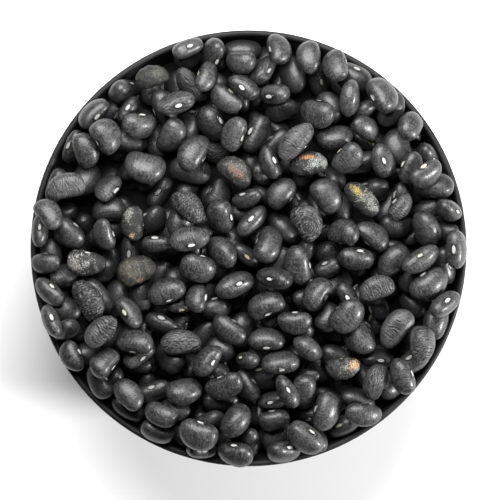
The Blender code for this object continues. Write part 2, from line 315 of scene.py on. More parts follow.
def heap_surface(radius):
    """Height of the heap's top, where its beans' backs lie."""
    return BOWL_HEIGHT + HEAP_OVER_LIP + HEAP_RISE * (1 - (radius / RIM_RADIUS) ** HEAP_FLATNESS)


def laid_surface(radius):
    """Height that beans are laid up to: a little over the heap's own form along the lip, which they fill."""
    return heap_surface(radius) + RIM_PILE * (radius / RIM_RADIUS) ** RIM_STEEPNESS


def resting_rings():
    """Radius and height of close rings that carry the beans: a dome under the heap, the wall and the lip."""
    dome_radius = np.arange(0, RIM_RADIUS, MM)
    dome_height = heap_surface(dome_radius) - LAID_DEPTH
    wall_radius, wall_height = inner_wall(np.linspace(0, 1, WALL_STEPS))
    inside = dome_radius < np.interp(dome_height, wall_height, wall_radius)
    above = wall_height > dome_height[inside][-1]
    lip_radius, lip_height = lip(np.linspace(math.pi, 0, LIP_POINTS + 2))
    radius = np.concatenate([dome_radius[inside], wall_radius[above], lip_radius])
    height = np.concatenate([dome_height[inside], wall_height[above], lip_height])
    return radius, height


def frames_of(angles):
    """Rotation matrices from rows of yaw, pitch and roll."""
    cos_y, cos_p, cos_r = np.cos(angles).T
    sin_y, sin_p, sin_r = np.sin(angles).T
    rows = (
        (cos_y * cos_p, cos_y * sin_p * sin_r - sin_y * cos_r, cos_y * sin_p * cos_r + sin_y * sin_r),
        (sin_y * cos_p, sin_y * sin_p * sin_r + cos_y * cos_r, sin_y * sin_p * cos_r - cos_y * sin_r),
        (-sin_p, cos_p * sin_r, cos_p * cos_r),
    )
    return np.moveaxis(np.array(rows), 2, 0)


def balls_of(half):
    """Nine balls that fill a bean, as centre and radius in its own frame."""
    a, b, c = half
    side = b - c
    end = a - 0.9 * c
    balls = [(0, 0, 0, c), (end, 0, 0, 0.9 * c), (-end, 0, 0, 0.9 * c), (0, side, 0, c), (0, -side, 0, c)]
    balls += [(i * 0.55 * a, j * 0.72 * side, 0, 0.97 * c) for i in (-1, 1) for j in (-1, 1)]
    return np.array(balls)


def touching_heights(across, reach, under_height):
    """Height of each ball's centre where it touches the highest thing under it."""
    room = reach**2 - across
    lift = np.where(room > 0, under_height + np.sqrt(np.maximum(room, 0)), -NOWHERE)
    return lift.max(axis=2)


def within_lip(balls, frames, places):
    """The places, moved in towards the axis where a bean would reach past the lip."""
    offsets = np.einsum("kij,bj->kbi", frames, balls[:, :3])
    for _ in range(INWARD_STEPS):
        reach = np.linalg.norm(offsets[:, :, :2] + places[:, None], axis=2) + balls[:, 3]
        excess = np.maximum(reach.max(axis=1) - RIM_RADIUS + BEAN_TO_EDGE, 0)
        radius = np.maximum(np.linalg.norm(places, axis=1), MM)
        places = places * (1 - excess / radius)[:, None]
    return places


def rest_heights(balls, frames, places, laid, rings):
    """Height at which the bean's centre comes to rest, let down at each place in each frame."""
    offsets = np.einsum("kij,bj->kbi", frames, balls[:, :3])
    x = (offsets[:, :, 0] + places[:, None, 0])[:, :, None]
    y = (offsets[:, :, 1] + places[:, None, 1])[:, :, None]
    size = balls[:, 3][None, :, None]
    from_axis = np.hypot(x, y)
    touch = touching_heights((from_axis - rings[0]) ** 2, size, rings[1])
    if len(laid):
        across = (x - laid[:, 0]) ** 2 + (y - laid[:, 1]) ** 2
        touch = np.maximum(touch, touching_heights(across, size + laid[:, 3], laid[:, 2]))
    height = (touch - offsets[:, :, 2]).max(axis=1)
    height[(from_axis + size).max(axis=(1, 2)) > RIM_RADIUS - BEAN_TO_EDGE / 2] = NOWHERE
    return height


def drawn_half_sizes(rng):
    spread = np.clip(rng.normal(size=3), -MOST_SPREAD, MOST_SPREAD)
    length = BEAN_LENGTH + LENGTH_SPREAD * spread[0]
    width = length * (WIDTH_SHARE + SHARE_SPREAD * spread[1])
    thickness = width * (THICKNESS_SHARE + SHARE_SPREAD * spread[2])
    return np.array([length, width, thickness]) / 2


def drawn_places(rng):
    """Places and angles that a bean tries first: evenly over the heap, mostly lying flat."""
    radius = np.sqrt(rng.random(PLACES)) * RIM_RADIUS
    spin = rng.random(PLACES) * 2 * math.pi
    angles = rng.random((PLACES, 3)) * 2 * math.pi
    angles[:, 1] = rng.normal(0, FIRST_TILT, PLACES)
    return np.stack([radius * np.cos(spin), radius * np.sin(spin)], axis=1), angles


def known_bean(number):
    """Half sizes, place and angles of a bean that stands out."""
    x, y, turn, length, width = STAND_OUT[number]
    half = np.array([length, width, width * THICKNESS_SHARE]) * MM / 2
    return half, np.array([[x, y]]) * MM, np.array([[math.radians(turn), 0.0, 0.0]])


def scores(balls, places, angles, laid, rings, kept_clear):
    """Height of each rest over the surface that beans are laid up to."""
    height = rest_heights(balls, frames_of(angles), places, laid.reshape(-1, 4), rings)
    if len(kept_clear):
        apart = np.linalg.norm(places[:, None] - kept_clear, axis=2)
        height[apart.min(axis=1) < STAND_OUT_ROOM] = NOWHERE
    return height - laid_surface(np.hypot(*places.T))


def settled(rng, balls, laid, centres, rings, kept_clear):
    """The lowest of the first places, then of the nudges round it: place, angles and score."""
    places, angles = drawn_places(rng)
    places = within_lip(balls, frames_of(angles), places)
    tried = scores(balls, places, angles, laid, rings, kept_clear)
    best = np.argmin(tried)
    place, angle, low = places[best], angles[best], tried[best]
    near = laid[np.hypot(*(centres[:, :2] - place).T) < NEIGHBOUR_REACH]
    for turn in range(SETTLING_TURNS):
        step = NUDGE_FADE**turn
        nudged = place + rng.normal(0, NUDGE * step, (NUDGES, 2))
        turned = angle + rng.normal(0, NUDGE_TURN * step, (NUDGES, 3))
        nudged = within_lip(balls, frames_of(turned), nudged)
        tried = scores(balls, nudged, turned, near, rings, kept_clear)
        best = np.argmin(tried)
        if tried[best] < low:
            place, angle, low = nudged[best], turned[best], tried[best]
    return place, angle, low


def lay_beans():
    """Centre, frame and half sizes of each bean: it takes the lowest of some drawn places and settles there.

    The beans that stand out go in near the end, at their own places, and no later bean lies on them.
    Places are rounded, so that the last digits of a sum never change where the next bean lies.
    """
    rng = np.random.default_rng(BEAN_SEED)
    rings = resting_rings()
    beans = []
    centres = np.zeros((0, 3))
    laid = np.zeros((0, len(balls_of(np.ones(3))), 4))
    kept_clear = np.zeros((0, 2))
    for number in range(BEAN_COUNT):
        if 0 <= number - STAND_OUT_AT < len(STAND_OUT):
            half, places, angles = known_bean(number - STAND_OUT_AT)
            balls = balls_of(half)
            place, angle = places[0], angles[0]
            low = max(scores(balls, places, angles, laid, rings, kept_clear)[0], -half[2])
            kept_clear = np.concatenate([kept_clear, places])
        else:
            half = drawn_half_sizes(rng)
            balls = balls_of(half)
            place, angle, low = settled(rng, balls, laid, centres, rings, kept_clear)
        centre = np.array([*place, low + laid_surface(np.hypot(*place))]).round(DIGITS)
        frame = frames_of(angle[None].round(DIGITS))[0]
        world = balls.copy()
        world[:, :3] = balls[:, :3] @ frame.T + centre
        laid = np.concatenate([laid, world[None]])
        centres = np.concatenate([centres, centre[None]])
        beans.append((centre, frame, half))
    return beans


def smooth_step(values, low, high):
    share = np.clip((values - low) / (high - low), 0, 1)
    return share * share * (3 - 2 * share)


def spot_weights(share, centre, size):
    """Weight of a soft spot round a centre, for points as shares of a bean's half sizes."""
    apart = ((share[:, 0] - centre[0]) / size[0]) ** 2 + ((share[:, 1] - centre[1]) / size[1]) ** 2
    return np.exp(-apart)


class Bean:
    """One bean: where it lies, and the small differences in form and coat that no other bean has."""

    def __init__(self, centre, axes, half, rng):
        self.centre = centre
        self.axes = axes
        self.half = half
        self.bend = BEAN_BEND * rng.uniform(*BEND_RANGE)
        self.taper = rng.normal(0, TAPER_SPREAD)
        self.skew = rng.normal(0, SKEW_SPREAD)
        self.squareness = BEAN_SQUARENESS + rng.uniform(*SQUARENESS_RANGE)
        self.waves = rng.normal(0, WAVE_PACE, (WAVES, 3))
        self.phases = rng.uniform(0, 2 * math.pi, WAVES)
        self.lumps = rng.uniform(*LUMP_RANGE, WAVES)
        flats = rng.normal(size=(FLATS, 3))
        self.flats = flats / np.linalg.norm(flats, axis=1, keepdims=True)
        self.flat_depths = rng.uniform(0.0, FLAT_DEPTH, FLATS)
        self.hollow = rng.uniform(*HOLLOW_RANGE)
        self.tone = rng.normal()
        self.offset = rng.uniform(0, PATTERN_REACH, 3)
        self.eye_warmth = max(0.0, rng.normal(*EYE_WARMTH))
        self.eye_scale = rng.uniform(*EYE_SCALE_RANGE)
        self.share = 0
        self.wrinkles = None
        self.weathered = None
        self.shown_side = 1

    def turn_over(self):
        """Turns the bean over about its length, so that its eye points to the other side."""
        self.axes = self.axes * np.array([1, -1, -1])

    def roll(self, degrees):
        """Rolls the bean about its length."""
        turn = math.radians(degrees)
        about = [[1, 0, 0], [0, math.cos(turn), -math.sin(turn)], [0, math.sin(turn), math.cos(turn)]]
        self.axes = self.axes @ np.array(about)
        self.shown_side = 1 if self.axes[2, 2] > 0 else -1

    def eye_distance(self, points):
        """Distance of points of the bean's own frame from its eye, in eye sizes, large on its other side."""
        apart = np.hypot(points[:, 0] / EYE_HALF[0], points[:, 2] / EYE_HALF[1]) / self.eye_scale
        return np.where(points[:, 1] < 0, apart, EYE_FAR)

    def shares_of(self, points):
        """Points of the bean's own frame as shares of its half sizes, seen from the side that shows."""
        return points / self.half * np.array([1, self.shown_side, self.shown_side])

    def surface(self, directions):
        """Points of the bean's skin in its own frame, in metres, for directions from its centre."""
        size = (np.abs(directions) ** self.squareness).sum(axis=1) ** (1 / self.squareness)
        points = directions / size[:, None]
        swell = 1 + (self.lumps * np.sin(points @ self.waves.T + self.phases)).sum(axis=1)
        for axis, depth in zip(self.flats, self.flat_depths):
            swell = swell - depth * smooth_step(points @ axis, *FLAT_EDGE)
        points = points * swell[:, None]
        x, y, z = points.T
        taper = 1 + self.taper * x
        spread = np.exp(-((x / HOLLOW_LENGTH) ** 2) - (z / HOLLOW_WIDTH) ** 2)
        hollow = self.hollow * spread * smooth_step(-y, *HOLLOW_EDGE)
        y = y * taper - self.bend * (x**2 - BEND_LEVEL) + hollow + self.skew * x * z
        return np.stack([x, y, z * taper], axis=1) * self.half

    def placed(self, points):
        """Points of the bean's own frame, where the bean lies and clear of the wall."""
        world = points @ self.axes.T + self.centre
        return world - self.shift()

    def shift(self):
        """How far the bean gives way towards the middle, so as not to cross the wall or pass the lip."""
        around = self.surface(sphere_directions(*LOW_GRID)[0]) @ self.axes.T + self.centre
        excess = (np.hypot(around[:, 0], around[:, 1]) - room_within(around[:, 2])).max()
        if excess <= 0:
            return np.zeros(3)
        outward = np.array([*self.centre[:2], 0])
        return excess * outward / np.linalg.norm(outward)


def room_within(heights):
    """Radius that a bean may reach at each height: the inner wall's, and over the lip the lip's own."""
    wall_radius, wall_height = inner_wall(np.linspace(0, 1, WALL_STEPS))
    within = np.interp(heights, wall_height, wall_radius) - BEAN_TO_WALL
    return np.where(heights < BOWL_HEIGHT + BEAN_TO_WALL, within, RIM_RADIUS)


def sphere_directions(rings, sides):
    """Directions over a sphere with its poles along X, and the quads and end triangles between them."""
    along = np.linspace(0, math.pi, rings + 1)[1:-1]
    around = np.arange(sides) * 2 * math.pi / sides
    x = np.repeat(np.cos(along), sides)
    across = np.repeat(np.sin(along), sides)
    turn = np.tile(around, rings - 1)
    directions = np.stack([x, across * np.cos(turn), across * np.sin(turn)], axis=1)
    directions = np.concatenate([directions, [[1, 0, 0], [-1, 0, 0]]])
    ring = np.arange(sides)
    after = (ring + 1) % sides
    end = (rings - 2) * sides
    faces = []
    for start in range(0, end, sides):
        corners = (start + sides + ring, start + sides + after, start + after, start + ring)
        faces += np.stack(corners, axis=1).tolist()
    first, last = len(directions) - 2, len(directions) - 1
    faces += [(i, j, first) for i, j in zip(ring, after)]
    faces += [(end + j, end + i, last) for i, j in zip(ring, after)]
    return directions, faces


def fold_depths(bean, points):
    """How deep a wrinkled bean's folds are at points of its own frame, from 0 on the crests to 1."""
    look = bean.wrinkles
    x, y, z = (points / MM).T
    a, b, c = bean.phases[:3]
    # Slow waves of unlike lengths make the folds sway, fork and break off, so that they never repeat
    sway = 0.50 * np.sin(1.5 * y + a + 1.2 * np.sin(0.8 * x + b))
    sway += 0.30 * np.sin(2.6 * z + 1.3 * y + b) + 0.22 * np.sin(4.1 * y - 2.3 * x + c)
    if look.run == ACROSS:
        across, beside = x, y
    elif look.run == ALONG:
        across, beside = np.arctan2(z, y + 0.01) * 2.6, x
    else:
        across, beside = np.hypot(x - 1.4, y + 0.6), x
    across = across + sway * look.waviness * look.spacing + 0.3 * look.spacing * np.sin(2.1 * across + b)
    straight = (0.5 - 0.5 * np.sin(2 * math.pi * across / look.spacing)) ** FOLD_SHARPNESS
    slanted = 1.15 * across + 0.3 * beside
    forked = (0.5 - 0.5 * np.sin(2 * math.pi * slanted / look.spacing)) ** FOLD_SHARPNESS
    broken = 0.5 + 0.5 * np.sin(1.9 * x + 2.7 * y + b) * np.sin(2.3 * z - 1.8 * x + c)
    patchy = smooth_step(np.sin(1.3 * x + 1.1 * y + c) + np.sin(2.4 * beside - 1.2 * x + a), -0.8, 0.8)
    near = spot_weights(bean.shares_of(points), look.centre, (look.reach, look.reach))
    return (straight * (1 - patchy) + forked * patchy) * (0.45 + 0.55 * broken) * near


def weathered_relief(bean, points):
    """Small lumps and pits of a weathered coat, in metres."""
    x, y, z = (points / MM).T
    a, b, c = bean.phases[:3]
    lumps = np.sin(2.3 * x + a + np.sin(1.6 * y + b)) * np.sin(2.0 * y + c + np.sin(2.1 * z + a))
    pits = np.sin(5.9 * x + b + 1.3 * np.sin(3.1 * z)) * np.sin(4.7 * z + 2.2 * y + c)
    return LUMP_HEIGHT * lumps + PIT_DEPTH * pits


def vertex_normals(points, faces):
    normals = np.zeros_like(points)
    corners = np.array([face[:3] for face in faces])
    a, b, c = (points[corners[:, i]] for i in range(3))
    facing = np.cross(b - a, c - a)
    for i in range(3):
        np.add.at(normals, corners[:, i], facing)
    return normals / np.maximum(np.linalg.norm(normals, axis=1, keepdims=True), 1e-12)


def bean_mesh(bean, grid):
    """A bean's points in the row frame and in its own frame, and its faces."""
    directions, faces = sphere_directions(*grid)
    own = bean.surface(directions)
    relief = np.zeros(len(own))
    if bean.wrinkles:
        relief = -bean.wrinkles.depth * MM * fold_depths(bean, own)
    elif bean.weathered:
        relief = weathered_relief(bean, own)
    skin = own + vertex_normals(own, faces) * relief[:, None]
    return bean.placed(skin), own, faces


def depths_in_heap(points):
    """Depth of points under the surface that beans are laid up to, in mm, which the coats use for painted
    shade.
    """
    return (laid_surface(np.hypot(points[:, 0], points[:, 1])) - points[:, 2]) / MM


def joined_object(name, parts, attributes, material):
    """One mesh object from (points, faces) parts, with a number or a row of three at every point."""
    points, faces, start = [], [], 0
    for part_points, part_faces in parts:
        points.append(part_points)
        faces += [tuple(corner + start for corner in face) for face in part_faces]
        start += len(part_points)
    mesh = bpy.data.meshes.new(name)
    mesh.from_pydata(np.concatenate(points).tolist(), [], faces)
    for attribute, rows in attributes.items():
        values = np.concatenate(rows).astype(np.float32)
        kind, field = ("FLOAT", "value") if values.ndim == 1 else ("FLOAT_VECTOR", "vector")
        mesh.attributes.new(attribute, kind, "POINT").data.foreach_set(field, values.ravel())
    mesh.shade_smooth()
    mesh.materials.append(material)
    made = bpy.data.objects.new(name, mesh)
    bpy.context.scene.collection.objects.link(made)
    return made


def plain_values(bean, own):
    """What the coat of a smooth bean reads at its points."""
    return {"bean_tone": np.full(len(own), bean.tone), "eye_distance": bean.eye_distance(own)}


def wrinkled_values(bean, own):
    """What the coat of a wrinkled bean reads at its points: fold depths, which the coat darkens as painted
    shade.
    """
    depth = fold_depths(bean, own) * bean.wrinkles.depth / FULL_SHADE_FOLD
    return {"fold_depth": depth, "eye_distance": bean.eye_distance(own)}


def weathered_values(bean, own):
    """What the coat of a weathered bean reads at its points. Its patch lies on the side that shows."""
    look = bean.weathered
    share = bean.shares_of(own)
    upper = smooth_step(share[:, 2], -0.3, 0.4)
    return {
        "coat_colour": np.tile(look.coat, (len(own), 1)),
        "patch_colour": np.tile(look.patch, (len(own), 1)),
        "patch_weight": spot_weights(share, look.patch_at, look.patch_size) * upper,
        # Partly bleaching, partly painted light: pale round its centre, darker beyond it as painted shade
        "bleach_and_lit_weight": spot_weights(share, look.pale_at, (look.pale_reach, look.pale_reach)),
    }


def make_beans_piece(name, beans, grid, values_of, coat):
    """Beans of one kind as one piece, with what their coat reads at every point."""
    parts = []
    attributes = {}
    for bean in beans:
        points, own, faces = bean_mesh(bean, grid)
        parts.append((points, faces))
        values = {
            "bean_place": own / MM + bean.offset,
            **values_of(bean, own),
            "heap_depth": depths_in_heap(points),
        }
        for attribute, rows in values.items():
            attributes.setdefault(attribute, []).append(rows)
    return joined_object(name, parts, attributes, coat)


def eye_mesh(bean):
    """The eye of a bean: an oval with a slit, and a dark rim whose outer edge runs out under the coat."""
    rings = np.array(EYE_RINGS)
    turn = np.arange(EYE_SIDES) * 2 * math.pi / EYE_SIDES
    radius = np.repeat(rings[1:], EYE_SIDES)
    along = np.append(radius * np.tile(np.cos(turn), len(rings) - 1), 0)
    across = np.append(radius * np.tile(np.sin(turn), len(rings) - 1), 0)
    radius = np.append(radius, 0)
    x = along * EYE_HALF[0] * bean.eye_scale / bean.half[0]
    z = across * EYE_HALF[1] * bean.eye_scale / bean.half[2]
    skin = bean.surface(np.stack([x, -np.ones_like(x), z], axis=1))
    # Radii are in shares of the eye's half sizes, as in EYE_RINGS
    slit = EYE_SLIT * np.exp(-((across / 0.14) ** 2)) * (radius < 0.8)
    dome = EYE_DOME * (1 - np.minimum(radius, 1) ** 2)
    rim = EYE_RIM * np.exp(-(((radius - 1.26) / 0.18) ** 2))
    sunk = EYE_SUNK * smooth_step(radius, 1.3, 1.7)
    height = EYE_LIFT + dome + rim - slit - sunk
    skin[:, 1] -= height
    middle = len(skin) - 1
    faces = [(middle, i, (i + 1) % EYE_SIDES) for i in range(EYE_SIDES)]
    for ring in range(len(rings) - 2):
        start = ring * EYE_SIDES
        for i in range(EYE_SIDES):
            after = (i + 1) % EYE_SIDES
            faces.append((start + i, start + EYE_SIDES + i, start + EYE_SIDES + after, start + after))
    return bean.placed(skin), faces, radius


def make_eyes(beans):
    """All eyes that show, each in its own tone of white."""
    rng = np.random.default_rng(LOOK_SEED)
    parts = []
    attributes = {"eye_radius": [], "eye_warmth": [], "eye_tone": [], "bean_place": [], "heap_depth": []}
    for bean in beans:
        points, faces, radius = eye_mesh(bean)
        parts.append((points, faces))
        attributes["eye_radius"].append(radius)
        attributes["eye_warmth"].append(np.full(len(points), bean.eye_warmth))
        attributes["eye_tone"].append(np.full(len(points), rng.random()))
        attributes["bean_place"].append(points / MM)
        attributes["heap_depth"].append(depths_in_heap(points))
    return joined_object("bean_eyes", parts, attributes, eye_skin())


def eye_is_free(bean, beans):
    """Whether a bean's eye lies clear of every other bean."""
    eye = bean.placed(bean.surface(np.array([[0.0, -1.0, 0.0]])))[0]
    for other in beans:
        apart = eye - other.centre
        if other is bean or apart @ apart > other.half[0] ** 2 * EYE_ROOM**2:
            continue
        own = apart @ other.axes / other.half
        if own @ own < EYE_ROOM**2:
            return False
    return True


def visible_shares(beans):
    """Share of each bean's own outline that shows from straight above."""
    cells = int(2 * RIM_RADIUS / MAP_STEP)
    at = (np.arange(cells) + 0.5) * MAP_STEP - RIM_RADIUS
    height = np.full((cells, cells), -NOWHERE)
    owner = np.full((cells, cells), -1)
    own_area = np.zeros(len(beans))
    for number, bean in enumerate(beans):
        shape = np.linalg.inv(bean.axes @ np.diag(bean.half**2) @ bean.axes.T)
        near = np.abs(at[:, None] - bean.centre[:2]) < bean.half[0]
        columns, rows = np.flatnonzero(near[:, 0]), np.flatnonzero(near[:, 1])
        x, y = np.meshgrid(at[columns] - bean.centre[0], at[rows] - bean.centre[1])
        b = shape[0, 2] * x + shape[1, 2] * y
        c = shape[0, 0] * x**2 + 2 * shape[0, 1] * x * y + shape[1, 1] * y**2 - 1
        room = b**2 - shape[2, 2] * c
        top = bean.centre[2] + (-b + np.sqrt(np.maximum(room, 0))) / shape[2, 2]
        window = np.ix_(rows, columns)
        own_area[number] = (room > 0).sum()
        wins = (room > 0) & (top > height[window])
        height[window] = np.where(wins, top, height[window])
        owner[window] = np.where(wins, number, owner[window])
    shown = np.bincount(owner[owner >= 0], minlength=len(beans))
    return shown / own_area


class Nodes:
    """Short calls for making a material's nodes."""

    def __init__(self, name):
        self.material = bpy.data.materials.new(name)
        self.material.use_nodes = True
        self.tree = self.material.node_tree
        self.shader = self.tree.nodes["Principled BSDF"]

    def node(self, kind, **settings):
        made = self.tree.nodes.new(kind)
        for key, value in settings.items():
            setattr(made, key, value)
        return made

    def link(self, source, target):
        self.tree.links.new(source, target)

    def feed(self, socket, value):
        if isinstance(value, bpy.types.NodeSocket):
            self.link(value, socket)
        else:
            socket.default_value = value

    def math(self, operation, first, second=0.0, clamp=False):
        made = self.node("ShaderNodeMath", operation=operation, use_clamp=clamp)
        self.feed(made.inputs[0], first)
        self.feed(made.inputs[1], second)
        return made.outputs[0]

    def attribute(self, name, output="Fac"):
        return self.node("ShaderNodeAttribute", attribute_name=name).outputs[output]

    def stretched(self, vector, scale):
        made = self.node("ShaderNodeVectorMath", operation="MULTIPLY")
        self.feed(made.inputs[0], vector)
        made.inputs[1].default_value = scale
        return made.outputs[0]

    def noise(self, vector, scale, detail=2.0, roughness=0.5, distortion=0.0):
        made = self.node("ShaderNodeTexNoise")
        self.feed(made.inputs["Vector"], vector)
        made.inputs["Scale"].default_value = scale
        made.inputs["Detail"].default_value = detail
        made.inputs["Roughness"].default_value = roughness
        made.inputs["Distortion"].default_value = distortion
        return made.outputs["Fac"]

    def ranged(self, value, low, high, to_low, to_high):
        made = self.node("ShaderNodeMapRange")
        self.feed(made.inputs["Value"], value)
        made.inputs["From Min"].default_value = low
        made.inputs["From Max"].default_value = high
        made.inputs["To Min"].default_value = to_low
        made.inputs["To Max"].default_value = to_high
        return made.outputs["Result"]

    def mix(self, share, first, second):
        made = self.node("ShaderNodeMix", data_type="RGBA")
        self.feed(made.inputs[0], share)
        self.feed(made.inputs[6], first)
        self.feed(made.inputs[7], second)
        return made.outputs[2]

    def bump(self, height, strength, distance, normal=None):
        made = self.node("ShaderNodeBump")
        made.inputs["Strength"].default_value = strength
        made.inputs["Distance"].default_value = distance
        self.feed(made.inputs["Height"], height)
        if normal:
            self.link(normal, made.inputs["Normal"])
        return made.outputs["Normal"]

    def painted_depth_shade(self, shade):
        """Painted shade: a share of the colour that is 1 near the heap's surface and falls with depth."""
        shallow, deep, least = shade
        return self.ranged(self.attribute("heap_depth"), shallow, deep, 1, least)

    def beside_eye(self):
        """A share that is small right round the eye and 1 elsewhere."""
        near, far, least = BESIDE_EYE
        return self.ranged(self.attribute("eye_distance"), near, far, least, 1)

    def set(self, name, value):
        self.feed(self.shader.inputs[name], value)


def grey(value, warmth=1.0):
    return (value * warmth, value, value / warmth, 1)


def bean_coat():
    """Dry near-black seed coat: dull, finely grained, faintly lined across, with painted shade that darkens it
    deeper in the heap.
    """
    m = Nodes("bean_coat")
    place = m.attribute("bean_place", "Vector")
    tone = m.attribute("bean_tone")
    grain = m.noise(place, 2.1, 2, 0.6)
    cloud = m.noise(place, 0.45, 2, 0.5)
    lines = m.noise(m.stretched(place, (2.2, 0.4, 0.4)), 1.0, 2, 0.5, 0.6)
    level = m.math("ADD", m.ranged(cloud, 0.3, 0.7, 0.2, 0.6), m.ranged(grain, 0.36, 0.64, -0.45, 0.5))
    level = m.math("ADD", level, m.ranged(lines, 0.36, 0.64, -0.25, 0.25))
    level = m.math("ADD", level, m.math("MULTIPLY", tone, 0.10), clamp=True)
    level = m.math("MULTIPLY", level, m.beside_eye())
    # Painted shade: the coat darkens with depth in the heap
    level = m.math("MULTIPLY", level, m.painted_depth_shade(COAT_PAINTED_SHADE))
    m.set("Base Color", m.mix(level, grey(0.008), grey(0.060)))
    worn = m.math("ADD", cloud, m.math("MULTIPLY", grain, 0.5))
    m.set("Roughness", m.ranged(worn, 0.5, 1.0, 0.42, 0.56))
    m.set("Specular IOR Level", 0.4)
    m.set("Coat Weight", 0.34)
    m.set("Coat Roughness", 0.25)
    fine = m.bump(grain, 1.0, 0.13 * MM)
    m.set("Normal", m.bump(lines, 1.0, 0.12 * MM, fine))
    m.set("Coat Normal", m.bump(grain, 1.0, 0.05 * MM))
    return m.material


def wrinkled_coat():
    """The same coat drawn into folds, with painted shade in their depth, painted light in a coat lighter than
    the smooth beans' that shows on their crests, and painted shade deeper in the heap.
    """
    m = Nodes("wrinkled_coat")
    place = m.attribute("bean_place", "Vector")
    fold = m.attribute("fold_depth")
    grain = m.noise(place, 2.3, 2, 0.6)
    cloud = m.noise(place, 0.5, 2, 0.5)
    level = m.math("ADD", m.ranged(cloud, 0.3, 0.7, 0.35, 0.8), m.ranged(grain, 0.36, 0.64, -0.25, 0.25))
    # Painted shade: the coat darkens in the folds' depth
    level = m.math("SUBTRACT", level, m.math("MULTIPLY", fold, 1.2), clamp=True)
    level = m.math("MULTIPLY", level, m.beside_eye())
    # Painted shade: the coat darkens with depth in the heap
    level = m.math("MULTIPLY", level, m.painted_depth_shade(COAT_PAINTED_SHADE))
    # Painted light: the coat's light end is lighter than the smooth beans', for lit crests
    m.set("Base Color", m.mix(level, grey(0.005), grey(0.095)))
    m.set("Roughness", m.ranged(fold, 0, 0.6, 0.46, 0.7))
    m.set("Specular IOR Level", 0.4)
    m.set("Coat Weight", 0.15)
    m.set("Coat Roughness", 0.3)
    m.set("Normal", m.bump(grain, 1.0, 0.12 * MM))
    return m.material


def weathered_coat():
    """A crazed coat with dark specks and a pale area that is partly bleached and partly painted light, darker
    beyond it as painted shade, with painted shade deeper in the heap, and on some beans a rusty or tan patch.
    """
    m = Nodes("weathered_coat")
    place = m.attribute("bean_place", "Vector")
    coat = m.attribute("coat_colour", "Vector")
    patch = m.attribute("patch_colour", "Vector")
    weight = m.attribute("patch_weight")
    grain = m.noise(m.stretched(place, (3.3, 1.8, 2.3)), 1.0, 4, 0.65, 0.5)
    blots = m.noise(m.stretched(place, (0.55, 0.4, 0.4)), 1.0, 2, 0.5)
    fine = m.noise(place, 3.0, 3, 0.65)
    # Bleaching and painted light near the pale area, painted shade beyond it
    bleach_and_lit = m.ranged(m.attribute("bleach_and_lit_weight"), 0, 1, -0.20, 0.09)
    speckled = m.math("ADD", grain, m.math("ADD", bleach_and_lit, m.ranged(blots, 0.35, 0.65, -0.12, 0.12)))
    specks = m.ranged(speckled, 0.42, 0.56, 0, 1)
    light = m.stretched(coat, (1.9, 1.9, 1.9))
    base = m.mix(specks, grey(0.014), m.mix(m.ranged(fine, 0.36, 0.46, 1, 0), coat, light))
    base = m.mix(m.ranged(fine, 0.5, 0.58, 0, 0.8), base, grey(0.02))
    shown = m.math("ADD", weight, m.ranged(grain, 0.35, 0.65, -0.35, 0.25))
    shown = m.ranged(shown, 0.25, 0.75, 0, 1)
    stained = m.mix(m.ranged(fine, 0.47, 0.56, 0, 0.85), patch, grey(0.03, 1.1))
    # Painted shade: the coat darkens with depth in the heap
    m.set("Base Color", m.mix(m.painted_depth_shade(COAT_PAINTED_SHADE), grey(0.006), m.mix(shown, base, stained)))
    m.set("Roughness", m.ranged(grain, 0.3, 0.7, 0.45, 0.65))
    m.set("Specular IOR Level", 0.25)
    m.set("Coat Weight", 0.08)
    m.set("Coat Roughness", 0.3)
    m.set("Normal", m.bump(speckled, 1.0, 0.3 * MM))
    return m.material


def eye_skin():
    """White to cream oval in a shiny black rim, with painted shade deeper in the heap."""
    m = Nodes("eye_skin")
    place = m.attribute("bean_place", "Vector")
    radius = m.attribute("eye_radius")
    warmth = m.attribute("eye_warmth")
    spots = m.noise(place, 4.0, 2, 0.6)
    white = m.mix(m.attribute("eye_tone"), (0.30, 0.30, 0.29, 1), (0.60, 0.60, 0.58, 1))
    white = m.mix(m.ranged(warmth, 0.1, 0.9, 0, 1), white, (0.50, 0.41, 0.23, 1))
    white = m.mix(m.ranged(spots, 0.4, 0.7, 0, 0.45), white, (0.28, 0.26, 0.20, 1))
    # Painted shade: the eye darkens with depth in the heap
    white = m.mix(m.painted_depth_shade(EYE_PAINTED_SHADE), grey(0.02), white)
    m.set("Base Color", m.mix(m.ranged(radius, 0.90, 1.02, 0, 1), white, grey(0.005)))
    m.set("Roughness", m.ranged(radius, 0.9, 1.1, 0.55, 0.28))
    return m.material


def core_painted_shade():
    """Painted shade: a near-black, almost unreflecting filling that stands for the unlit depth between the
    beans.
    """
    m = Nodes("core_painted_shade")
    coordinates = m.node("ShaderNodeTexCoord").outputs["Object"]
    m.set("Base Color", m.mix(m.noise(coordinates, 300, 2), grey(0.004), grey(0.010)))
    m.set("Roughness", 0.9)
    m.set("Specular IOR Level", 0.05)
    return m.material


